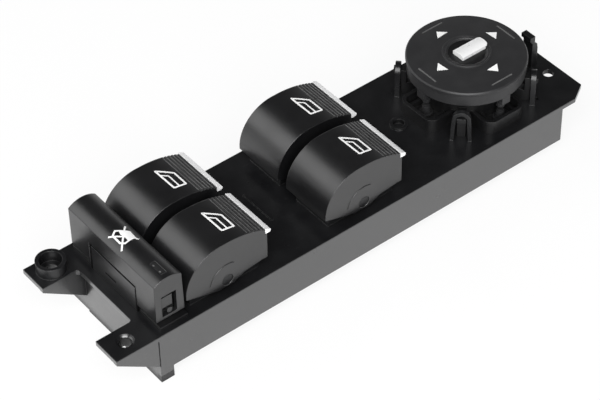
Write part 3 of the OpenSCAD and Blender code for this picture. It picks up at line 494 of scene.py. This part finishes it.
finishes = {
    "upper_housing": housingPlastic, "lower_cover": coverPlastic, "circuit_board": boardLaminate,
    "status_led": ledBody, "connector_header": innerPlastic, "connector_pins": contactBrass,
    "cover_screws": screwSteel, "lock_frame": framePlastic, "lock_button": buttonPlastic,
    "lock_lens": smokedLens, "light_pipe": clearAcrylic, "lock_switch": switchPlastic,
    "lock_plunger": sliderPlastic, "mirror_base": innerPlastic, "mirror_terminals": contactBrass,
    "pressure_domes": domeRubber, "gimbal_ring": switchPlastic, "mirror_pad": padPlastic,
    "selector_rotor": rotorPlastic, "selector_clip": clipSteel, "selector_grip": gripSilver,
}
corners = ("left_front", "left_rear", "right_front", "right_rear")
for corner in corners:
    finishes["button_" + corner] = buttonPlastic
    finishes["trim_" + corner] = satinTrim
    finishes["slider_" + corner] = sliderPlastic
    finishes["contact_" + corner] = contactBrass
for name, material in finishes.items():
    nodes[name].data.materials.clear()
    nodes[name].data.materials.append(material)
print("finishes on", len(finishes), "nodes")


# Rounded copies of the pieces that a hand meets: the same solid with its edges rolled over
def roundedPiece(nodeName, radius, segments=3, angle=28):
    source = nodes[nodeName]
    mesh = source.data.copy()
    mesh.name = nodeName + "_rounded"
    piece = bpy.data.objects.new(nodeName + "_rounded", mesh)
    scene.collection.objects.link(piece)
    if mesh.has_custom_normals:
        with bpy.context.temp_override(object=piece, active_object=piece, selected_objects=[piece]):
            bpy.ops.mesh.customdata_custom_splitnormals_clear()
    work = bmesh.new()
    work.from_mesh(mesh)
    bmesh.ops.remove_doubles(work, verts=work.verts, dist=2e-6)
    bmesh.ops.dissolve_limit(work, angle_limit=math.radians(0.6), verts=work.verts, edges=work.edges)
    for face in work.faces:
        face.smooth = True
    for edge in work.edges:
        edge.smooth = len(edge.link_faces) == 2 and edge.calc_face_angle(0) < math.radians(angle)
    work.to_mesh(mesh)
    work.free()
    roll = piece.modifiers.new("rolled edges", "BEVEL")
    roll.width = radius
    roll.segments = segments
    roll.limit_method = "ANGLE"
    roll.angle_limit = math.radians(angle)
    roll.use_clamp_overlap = True
    roll.harden_normals = True
    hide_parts(nodeName)
    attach(piece, source["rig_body"])
    return piece


rounded = {"button_left_front": 0.00035, "button_left_rear": 0.00035, "button_right_front": 0.00035,
           "button_right_rear": 0.00035, "lock_button": 0.0003}
for name, radius in rounded.items():
    roundedPiece(name, radius)
print("rounded pieces made")


# Printed symbols: thin films that follow the curved top they lie on
def buttonTop(x, y):
    return -16 + math.sqrt(38 ** 2 - (x - 17.5) ** 2)


def lockTop(x, y):
    return 13.1 + math.sqrt(9 ** 2 - (x - 7.5) ** 2)


def padTop(x, y):
    return 20.6 - (x * x + y * y) / 22.2 ** 2


def cornerPoints(path, closed, width):
    # left and right points of a stroke with mitred corners
    count = len(path)
    sides = []
    for place in range(count):
        here = Vector(path[place])
        before = Vector(path[place - 1]) if place or closed else None
        after = Vector(path[(place + 1) % count]) if place + 1 < count or closed else None
        towards = [(b - a).normalized() for a, b in ((before, here), (here,
                after)) if a is not None and b is not None]
        along = sum(towards, Vector((0, 0))).normalized()
        across = Vector((-along.y, along.x))
        edgeOn = Vector((-towards[0].y, towards[0].x))
        reach = width / 2 / max(0.35, across.dot(edgeOn))
        sides.append((here + across * reach, here - across * reach))
    return sides


def roundCorners(path, closed, reach):
    # each corner cut back by reach and bridged with a middle point
    count = len(path)
    made = []
    for place in range(count):
        here = Vector(path[place])
        if not closed and place in (0, count - 1):
            made.append(here)
            continue
        before, after = Vector(path[place - 1]), Vector(path[(place + 1) % count])
        first = here + (before - here).normalized() * reach
        last = here + (after - here).normalized() * reach
        made += [first, ((first + last) / 2).lerp(here, 0.45), last]
    return made


def addStroke(work, path, closed, width, lift, surface, place, depth=0.06):
    sides = cornerPoints(path, closed, width)
    count = len(path)
    rings = []
    spans = count if closed else count - 1
    for span in range(spans):
        (leftA, rightA), (leftB, rightB) = sides[span], sides[(span + 1) % count]
        steps = max(2, int((leftB - leftA).length / 0.5))
        for step in range(steps if closed or span < spans - 1 else steps + 1):
            share = step / steps
            rings.append((leftA.lerp(leftB, share), rightA.lerp(rightB, share)))
    made = []
    for left, right in rings:
        ring = []
        for point, low in ((left, depth), (left, 0), (right, 0), (right, depth)):
            height = surface(point.x, point.y) + lift - low
            ring.append(work.verts.new(place(point.x, point.y, height)))
        made.append(ring)
    last = len(made) if closed else len(made) - 1
    for at in range(last):
        one, two = made[at], made[(at + 1) % len(made)]
        for side in range(4):
            work.faces.new((one[side], one[(side + 1) % 4], two[(side + 1) % 4], two[side]))
    if not closed:
        work.faces.new(made[0])
        work.faces.new(made[-1])


def addPatch(work, outline, lift, surface, place):
    # a filled shape, cut into small triangles so that it follows the top
    centre = sum((Vector(p) for p in outline), Vector((0, 0))) / len(outline)
    rings = []
    for share in (1.0, 0.8, 0.6, 0.4, 0.2):
        ring = []
        for at in range(len(outline)):
            a, b = Vector(outline[at]), Vector(outline[(at + 1) % len(outline)])
            for step in range(9):
                point = centre.lerp(a.lerp(b, step / 9), share)
                ring.append(work.verts.new(place(point.x, point.y, surface(point.x, point.y) + lift)))
        rings.append(ring)
    skirt = [work.verts.new(vert.co - Vector((0, 0, 0.00006))) for vert in rings[0]]
    middle = work.verts.new(place(centre.x, centre.y, surface(centre.x, centre.y) + lift))
    for outer, inner in zip([skirt] + rings, rings):
        for at in range(len(outer)):
            after = (at + 1) % len(outer)
            work.faces.new((outer[at], outer[after], inner[after], inner[at]))
    last = rings[-1]
    for at in range(len(last)):
        work.faces.new((last[at], last[(at + 1) % len(last)], middle))


def finishSymbol(name, work, body, material):
    bmesh.ops.recalc_face_normals(work, faces=work.faces)
    mesh = bpy.data.meshes.new(name)
    work.to_mesh(mesh)
    work.free()
    piece = bpy.data.objects.new(name, mesh)
    scene.collection.objects.link(piece)
    mesh.materials.append(material)
    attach(piece, body)
    return piece


# Window sign on each button: a slanted pane with its frame line, in the button's own millimetres
windowSign = {
    "pane": [(20.0, 5.8), (25.05, 1.55), (25.1, -5.5), (20.25, -5.2)],
    "frameLine": [(20.2, 2.9), (22.4, 1.1), (22.4, -5.1)],
    "paneWidth": 0.74, "lineWidth": 0.55, "cornerReach": 0.3, "lift": 0.02,
    "starts": {"left_front": (14.6, 14.4), "left_rear": (14.6, 41.6), "right_front": (75.0, 14.4),
               "right_rear": (75.0, 41.6)},
}
for corner, (startX, startY) in windowSign["starts"].items():
    work = bmesh.new()
    place = lambda x, y, z, startX=startX, startY=startY: fromPlate(startX + x, startY + y, z)
    pane = roundCorners(windowSign["pane"], True, windowSign["cornerReach"])
    addStroke(work, pane, True, windowSign["paneWidth"], windowSign["lift"], buttonTop, place)
    addStroke(work, windowSign["frameLine"], False, windowSign["lineWidth"], windowSign["lift"] + 0.004,
              buttonTop, place)
    finishSymbol("window_sign_" + corner, work, "rocker_" + corner, whiteInk)

# Painted highlights: light grey strips between the fine grip lines of each button, just in front of its trim,
# in place of the lit edges of the grooves
gripHighlights = {"first": 26.7, "pitch": 1.45, "count": 5, "half": 10.6, "width": 0.26, "lift": 0.015}
for corner, (startX, startY) in windowSign["starts"].items():
    work = bmesh.new()
    place = lambda x, y, z, startX=startX, startY=startY: fromPlate(startX + x, startY + y, z)
    for line in range(gripHighlights["count"]):
        across = gripHighlights["first"] + line * gripHighlights["pitch"]
        addStroke(work, [(across, -gripHighlights["half"]), (across, gripHighlights["half"])], False,
                  gripHighlights["width"], gripHighlights["lift"], buttonTop, place)
    finishSymbol("grip_line_highlights_" + corner, work, "rocker_" + corner, gripHighlightGrey)

# Crossed-out window on the lock bar
lockSign = {
    "pane": [(6.6, 31.9), (10.5, 28.9), (10.25, 25.4), (5.9, 24.9), (4.75, 26.2), (4.8, 30.7)],
    "cross": [[(3.5, 31.6), (11.0, 24.0)], [(10.9, 32.0), (3.25, 23.4)]],
    "paneWidth": 0.68, "crossWidth": 0.66, "lift": 0.02,
    "shade": [(7.5, 30.9), (10.4, 28.9), (10.2, 25.5), (7.3, 25.2), (7.5, 27.4), (7.0, 29.2)],
    "lensGlints": [[(6.95, 10.5), (6.95, 9.7)], [(6.95, 6.9), (6.95, 6.1)]], "glintWidth": 0.5,
}
work = bmesh.new()
addStroke(work, lockSign["pane"], True, lockSign["paneWidth"], lockSign["lift"], lockTop, fromPlate)
for line in lockSign["cross"]:
    addStroke(work, line, False, lockSign["crossWidth"], lockSign["lift"] + 0.004, lockTop, fromPlate)
addPatch(work, lockSign["shade"], lockSign["lift"] + 0.008, lockTop, fromPlate)
finishSymbol("lock_sign", work, "lock", whiteInk)

# Painted highlights: two small light marks at the ends of the indicator lens, in place of glints on its edges
work = bmesh.new()
for mark in lockSign["lensGlints"]:
    addStroke(work, mark, False, lockSign["glintWidth"], lockSign["lift"], lockTop, fromPlate)
finishSymbol("lens_glints", work, "lock", highlightGrey)

# Four arrow heads on the mirror pad, pointing outwards
padSign = {"centre": (161.9, 28.0), "shift": (0.65, 0.50), "turn": 4.5, "base": 12.6, "tip": 15.8, "half": 2.63,
           "lift": 0.02, "tickAt": 19.25, "tickHalf": 4.8, "tickWidth": 0.5, "tickDepth": 0.7}
work = bmesh.new()
padPlace = lambda x, y, z: fromPlate(padSign["centre"][0] + x, padSign["centre"][1] + y, z)
for turn in range(4):
    spin = Matrix.Rotation(math.radians(90 * turn + padSign["turn"]), 2)
    outline = [spin @ Vector(p) + Vector(padSign["shift"])
               for p in ((padSign["base"], -padSign["half"]), (padSign["tip"], 0.0),
                         (padSign["base"], padSign["half"]))]
    addPatch(work, outline, padSign["lift"], padTop, padPlace)
finishSymbol("pad_arrows", work, "pad", whiteInk)

# Painted highlights: light grey strips filling the four slots near the pad's rim, in place of the slots' lit
# edges
work = bmesh.new()
for turn in range(4):
    spin = Matrix.Rotation(math.radians(90 * turn), 2)
    path = [spin @ Vector((padSign["tickAt"], side * padSign["tickHalf"])) for side in (-1, 1)]
    addStroke(work, path, False, padSign["tickWidth"], padSign["lift"], padTop, padPlace, padSign["tickDepth"])
finishSymbol("pad_slot_highlights", work, "pad", highlightGrey)
print("printed signs made")


# The raised bead round the selector's dish, turned about the pad's centre
dishBead = {"centre": (161.9, 28.0), "turns": 96,
            "profile": [(9.15, 20.3), (9.12, 20.7), (9.0, 20.92), (8.8, 20.98), (8.6, 20.9), (8.2, 20.6),
                        (7.8, 20.35), (7.4, 20.28), (6.95, 20.27), (6.95, 20.22)]}
work = bmesh.new()
rings = []
for step in range(dishBead["turns"]):
    angle = 2 * math.pi * step / dishBead["turns"]
    rings.append([work.verts.new(fromPlate(dishBead["centre"][0] + r * math.cos(angle),
                                           dishBead["centre"][1] + r * math.sin(angle), z))
                  for r, z in dishBead["profile"]])
for at in range(len(rings)):
    one, two = rings[at], rings[(at + 1) % len(rings)]
    for side in range(len(one)):
        after = (side + 1) % len(one)
        work.faces.new((one[side], one[after], two[after], two[side]))
for face in work.faces:
    face.smooth = True
finishSymbol("dish_bead", work, "pad", padPlastic)
print("dish bead made")

# Painted shade: near-black strips set in the two upright seams of the lock frame's panel and in its long slit,
# where only shadow falls
frameSeamShade = {"face": 1.78, "depth": 1.4, "seams": [[(14.6, 0.1), (14.6, 10.8)], [(41.4, 0.1), (41.4, 10.8)]],
             "seamWidth": 0.7, "slit": [(26.8, 4.1), (33.0, 4.1)], "slitWidth": 0.9, "slitIn": 0.14,
             "slitDepth": 0.75}
# painted shade: a near-black, almost unreflective finish for the strips
seamShadeBlack = mouldedPlastic("seamShadeBlack", {
    "colour": (0.0030, 0.0030, 0.0032), "mottled": (0.0040, 0.0040, 0.0042),
    "edgeColour": (0.006, 0.006, 0.006),
    "roughLow": 0.75, "roughHigh": 0.9, "specular": 0.08, "coat": 0.0, "coatAbove": 0.0, "coatRough": 0.3,
    "wearAndHighlight": 0.1,
    "scuffs": 0.05, "edgeRadius": 0.00008, "grainScale": 3600.0, "grainStrength": 0.2, "grainDepth": 0.00002})
work = bmesh.new()
seamShadeFace = lambda along, up: -frameSeamShade["face"]
seamShadePlace = lambda along, up, out: fromPlate(-out, along, up)
for seam in frameSeamShade["seams"]:
    addStroke(work, seam, False, frameSeamShade["seamWidth"], 0.0, seamShadeFace, seamShadePlace, frameSeamShade["depth"])
addStroke(work, frameSeamShade["slit"], False, frameSeamShade["slitWidth"], -frameSeamShade["slitIn"], seamShadeFace, seamShadePlace,
          frameSeamShade["slitDepth"])
finishSymbol("frame_seam_shade", work, nodes["lock_frame"]["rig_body"], seamShadeBlack)
print("frame lips made")


# Floor, world and lamps
studio = {
    "floorColour": (0.90, 0.90, 0.90), "shownWhite": 0.87, "mirroredWhite": 0.5,
    "lowLevel": 0.8, "highLevel": 0.05, "lowEdge": 0.14, "highEdge": 0.42,
}


def makeFloor(values):
    mesh = bpy.data.meshes.new("floor")
    half = 8.0
    mesh.from_pydata([(-half, -half, 0), (half, -half, 0), (half, half, 0), (-half, half, 0)], [], [(0, 1, 2,
            3)])
    floor = bpy.data.objects.new("floor", mesh)
    floor.location = (0, 0, -0.0002)
    scene.collection.objects.link(floor)
    material = bpy.data.materials.new("paleFloor")
    material.use_nodes = True
    tree = material.node_tree
    tree.nodes.clear()
    output = tree.nodes.new("ShaderNodeOutputMaterial")
    paper = addNode(tree, "ShaderNodeBsdfDiffuse")
    paper.inputs["Color"].default_value = (*values["floorColour"], 1)
    glow = addNode(tree, "ShaderNodeEmission")
    glow.inputs["Strength"].default_value = 1.0
    path = addNode(tree, "ShaderNodeLightPath").outputs
    direct = addMath(tree, "MULTIPLY", path["Is Camera Ray"], values["shownWhite"])
    mirrored = addMath(tree, "MAXIMUM", path["Is Glossy Ray"], path["Is Transmission Ray"])
    mirrored = addMath(tree, "MULTIPLY", mirrored, values["mirroredWhite"])
    blend = addNode(tree, "ShaderNodeMixShader")
    tree.links.new(addMath(tree, "MAXIMUM", direct, mirrored), blend.inputs[0])
    tree.links.new(paper.outputs[0], blend.inputs[1])
    tree.links.new(glow.outputs[0], blend.inputs[2])
    tree.links.new(blend.outputs[0], output.inputs[0])
    mesh.materials.append(material)


def makeWorld(values):
    # a white surround near the floor that falls off to a dim ceiling; plain white to the camera
    world = bpy.data.worlds.new("studioWorld")
    scene.world = world
    world.use_nodes = True
    tree = world.node_tree
    tree.nodes.clear()
    output = tree.nodes.new("ShaderNodeOutputWorld")
    towards = addNode(tree, "ShaderNodeSeparateXYZ")
    tree.links.new(addNode(tree, "ShaderNodeTexCoord").outputs["Generated"], towards.inputs[0])
    level = addRange(tree, towards.outputs["Z"], values["lowEdge"], values["highEdge"],
                     values["lowLevel"], values["highLevel"])
    light = addNode(tree, "ShaderNodeBackground")
    light.inputs["Color"].default_value = (1, 1, 1, 1)
    tree.links.new(level, light.inputs["Strength"])
    white = addNode(tree, "ShaderNodeBackground")
    white.inputs["Color"].default_value = (1, 1, 1, 1)
    white.inputs["Strength"].default_value = 1.0
    path = addNode(tree, "ShaderNodeLightPath").outputs
    blend = addNode(tree, "ShaderNodeMixShader")
    tree.links.new(path["Is Camera Ray"], blend.inputs[0])
    tree.links.new(light.outputs[0], blend.inputs[1])
    tree.links.new(white.outputs[0], blend.inputs[2])
    tree.links.new(blend.outputs[0], output.inputs[0])


lamps = {
    "keyPanel": {"place": (-0.62, -0.80, 1.00), "size": (1.2, 1.2), "power": 31},
    "leftBackPanel": {"place": (-0.68, 0.70, 0.74), "size": (1.2, 0.7), "power": 4.8},
}


def makeLamps(values):
    for name, lamp in values.items():
        data = bpy.data.lights.new(name, "AREA")
        data.shape = "RECTANGLE"
        data.size, data.size_y = lamp["size"]
        data.energy = lamp["power"]
        panel = bpy.data.objects.new(name, data)
        panel.location = lamp["place"]
        aim = Vector((0, 0, 0.02)) - Vector(lamp["place"])
        panel.rotation_euler = aim.to_track_quat("-Z", "Y").to_euler()
        scene.collection.objects.link(panel)


makeFloor(studio)
makeWorld(studio)
makeLamps(lamps)
print("floor, world and lamps made")

bpy.context.view_layer.update()
